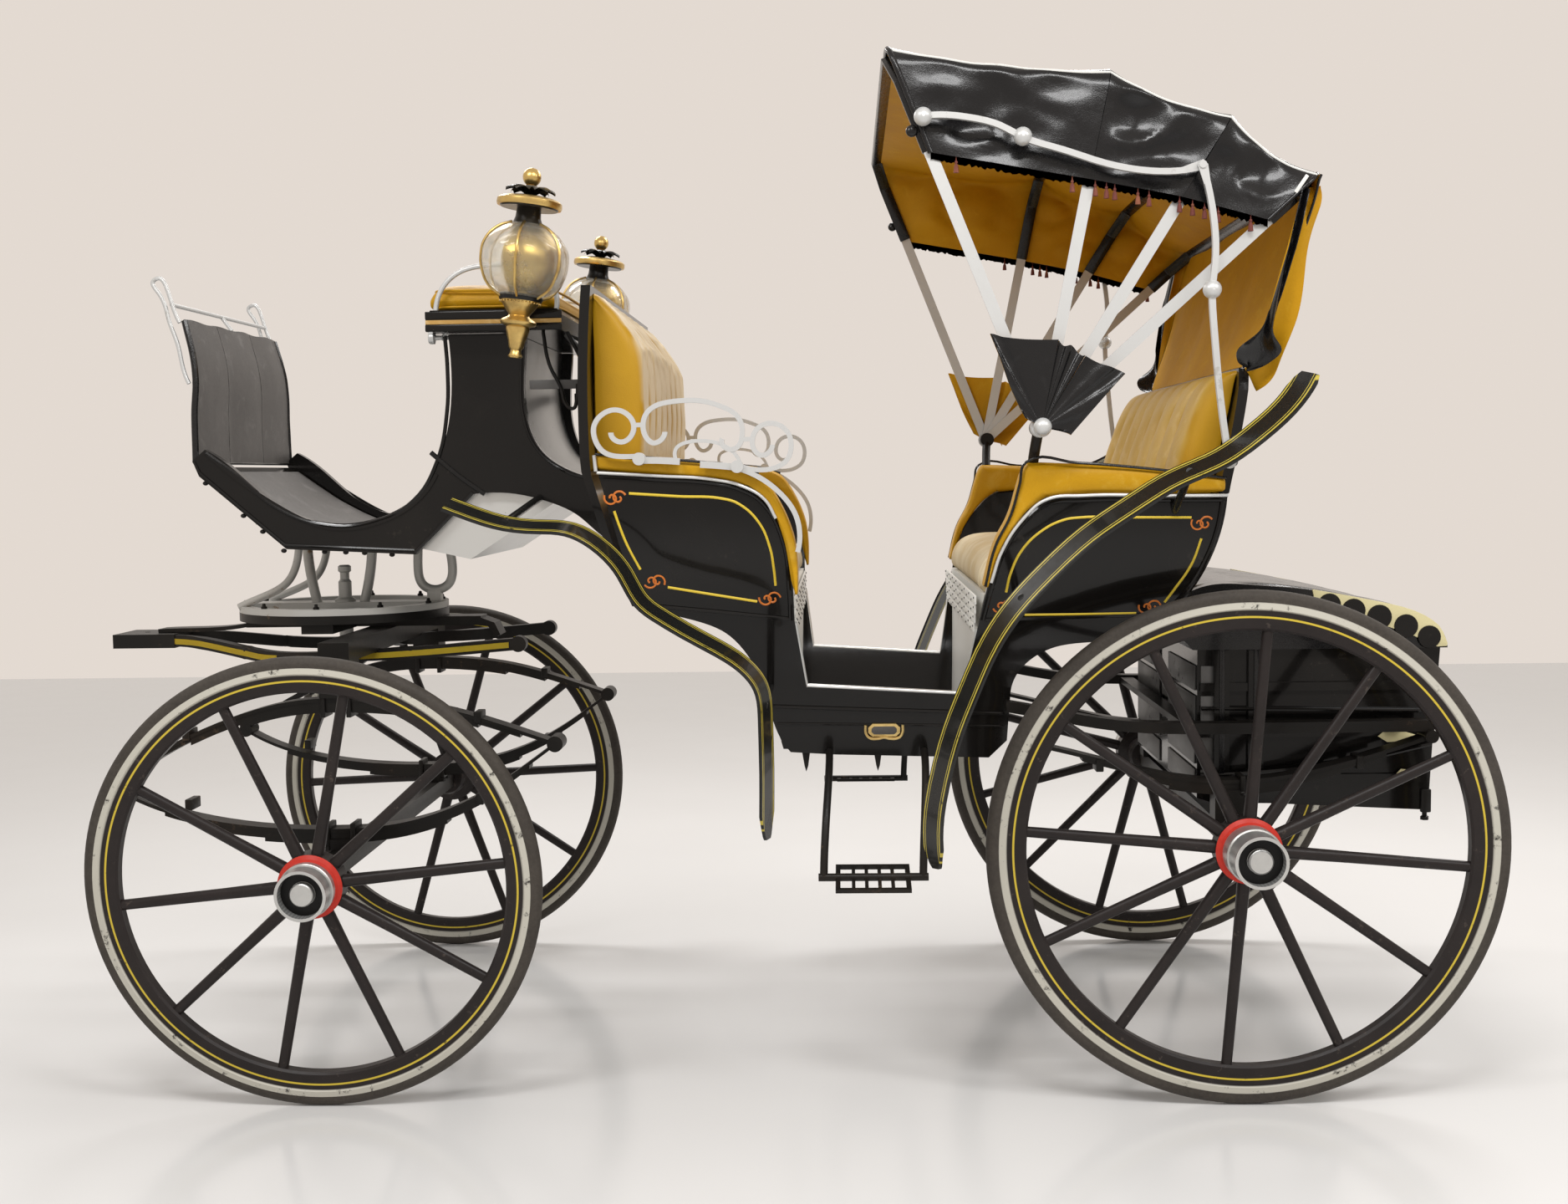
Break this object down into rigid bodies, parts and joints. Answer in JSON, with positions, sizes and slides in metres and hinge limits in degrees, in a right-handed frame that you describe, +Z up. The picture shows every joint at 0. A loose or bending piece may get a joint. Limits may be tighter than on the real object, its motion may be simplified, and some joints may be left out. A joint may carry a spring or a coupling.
{
  "type": "horse drawn carriage",
  "caption": "Open horse drawn carriage with a driver's box, facing passenger seats, a folding half hood, oil lamps, curved wings, leaf springs and a rear trunk.",
  "frame": {"origin": "on the floor, midway between the pole socket's front and the back of the rear wheels, on the middle plane", "axes": "+X towards the rear, +Y towards the far side, which is the right of a driver looking ahead, +Z up"},
  "size_m": [3.3829, 1.666, 2.3476],
  "materials": {
    "black_gloss": "gloss paint",
    "black_iron": "satin paint",
    "silver_paint": "satin paint",
    "mustard_leather": "soft sheen",
    "tan_cloth": "woven",
    "black_leather": "glossy, creased",
    "wheel_wood": "painted",
    "tyre_rubber": "worn",
    "brass": "polished",
    "clear_glass": "clear",
    "trunk_panel": "satin",
    "white_wood": "painted"
  },
  "bodies": {
    "carriage": {"boot_sides": "black_gloss", "footboard": "black_gloss", "dash": "black_leather", "seat_board": "black_gloss", "box_cushion": "mustard_leather", "wire_rails": "silver_paint", "boot_pan": "silver_paint", "front_board": "black_gloss", "lamps": "brass", "lamp_glasses": "clear_glass", "front_sides": "black_gloss", "tub_sides": "black_gloss", "tub_floor": "black_gloss", "rear_sides": "black_gloss", "front_arm_pads": "mustard_leather", "rear_arm_pads": "mustard_leather", "rear_back": "black_gloss", "front_back_cushion": "mustard_leather", "rear_back_cushion": "mustard_leather", "front_seat_cushion": "tan_cloth", "rear_seat_cushion": "tan_cloth", "front_seat_box": "white_wood", "rear_seat_box": "white_wood", "scroll_rails": "silver_paint", "front_wings": "black_gloss", "rear_wings": "black_gloss", "steps": "black_iron", "upper_gear": "black_iron", "rear_gear": "black_iron", "trunk": "trunk_panel", "trunk_cover": "black_leather", "hood_posts": "silver_paint", "back_curtain": "mustard_leather"},
    "forecarriage": {"lower_ring": "black_iron", "bed": "black_iron", "front_axle": "black_iron", "front_springs": "black_iron", "futchells": "black_iron", "pole_socket": "black_iron"},
    "wheel_front_near": {"tyre_front_near": "tyre_rubber", "wheel_front_near": "wheel_wood"},
    "wheel_front_far": {"tyre_front_far": "tyre_rubber", "wheel_front_far": "wheel_wood"},
    "wheel_rear_near": {"tyre_rear_near": "tyre_rubber", "wheel_rear_near": "wheel_wood"},
    "wheel_rear_far": {"tyre_rear_far": "tyre_rubber", "wheel_rear_far": "wheel_wood"},
    "hood_rear": {"bow_rear": "silver_paint", "hood_roof_rear": "black_leather"},
    "hood_third": {"bow_third": "silver_paint", "hood_roof_middle": "black_leather"},
    "hood_second": {"bow_second": "silver_paint", "hood_roof_front": "black_leather"},
    "hood_front": {"bow_front": "silver_paint"},
    "iron_upper": {"irons_upper": "silver_paint"},
    "iron_lower": {"irons_lower": "silver_paint"}
  },
  "joints": [
    {"name": "steer", "type": "hinge", "parent": "carriage", "child": "forecarriage", "pos_m": [-1.0955, 0, 1.08], "axis": [0, 0, 1], "range_deg": [-40, 40]},
    {"name": "front_near_spin", "type": "hinge", "parent": "forecarriage", "child": "wheel_front_near", "pos_m": [-0.985, -0.6955, 0.5208], "axis": [0, 0.9983, 0.0584], "continuous": true},
    {"name": "front_far_spin", "type": "hinge", "parent": "forecarriage", "child": "wheel_front_far", "pos_m": [-0.985, 0.6955, 0.5208], "axis": [0, 0.9983, -0.0584], "continuous": true},
    {"name": "rear_near_spin", "type": "hinge", "parent": "carriage", "child": "wheel_rear_near", "pos_m": [1.1115, -0.667, 0.58], "axis": [0, 1, 0], "continuous": true},
    {"name": "rear_far_spin", "type": "hinge", "parent": "carriage", "child": "wheel_rear_far", "pos_m": [1.1115, 0.667, 0.58], "axis": [0, 1, 0], "continuous": true},
    {"name": "hood_fold", "type": "hinge", "parent": "carriage", "child": "hood_rear", "pos_m": [0.6525, 0, 1.521], "axis": [0, 1, 0], "range_deg": [0, 30], "deforming": ["back_curtain"]},
    {"name": "third_fold", "type": "hinge", "parent": "hood_rear", "child": "hood_third", "pos_m": [0.6525, 0, 1.521], "axis": [0, 1, 0], "range_deg": [0, 8], "deforming": ["hood_roof_rear"]},
    {"name": "second_fold", "type": "hinge", "parent": "hood_third", "child": "hood_second", "pos_m": [0.6525, 0, 1.521], "axis": [0, 1, 0], "range_deg": [0, 13], "deforming": ["hood_roof_middle"]},
    {"name": "front_fold", "type": "hinge", "parent": "hood_second", "child": "hood_front", "pos_m": [0.6525, 0, 1.521], "axis": [0, 1, 0], "range_deg": [0, 25], "deforming": ["hood_roof_front"]},
    {"name": "iron_foot", "type": "hinge", "parent": "carriage", "child": "iron_lower", "pos_m": [1.0515, 0, 1.44], "axis": [0, 1, 0], "range_deg": [0, 88.15]},
    {"name": "iron_stud", "type": "hinge", "parent": "hood_front", "child": "iron_upper", "pos_m": [0.4014, 0, 2.1819], "axis": [0, 1, 0], "range_deg": [-44.7, 0]}
  ],
  "couplings": [
    {"joint": "third_fold", "follows": "hood_fold", "ratio": 0.2666},
    {"joint": "second_fold", "follows": "hood_fold", "ratio": 0.4333},
    {"joint": "front_fold", "follows": "hood_fold", "ratio": 0.8333},
    {"joint": "iron_foot", "follows": "hood_fold", "ratio": 2.9361},
    {"joint": "iron_stud", "follows": "hood_fold", "ratio": -1.488}
  ]
}
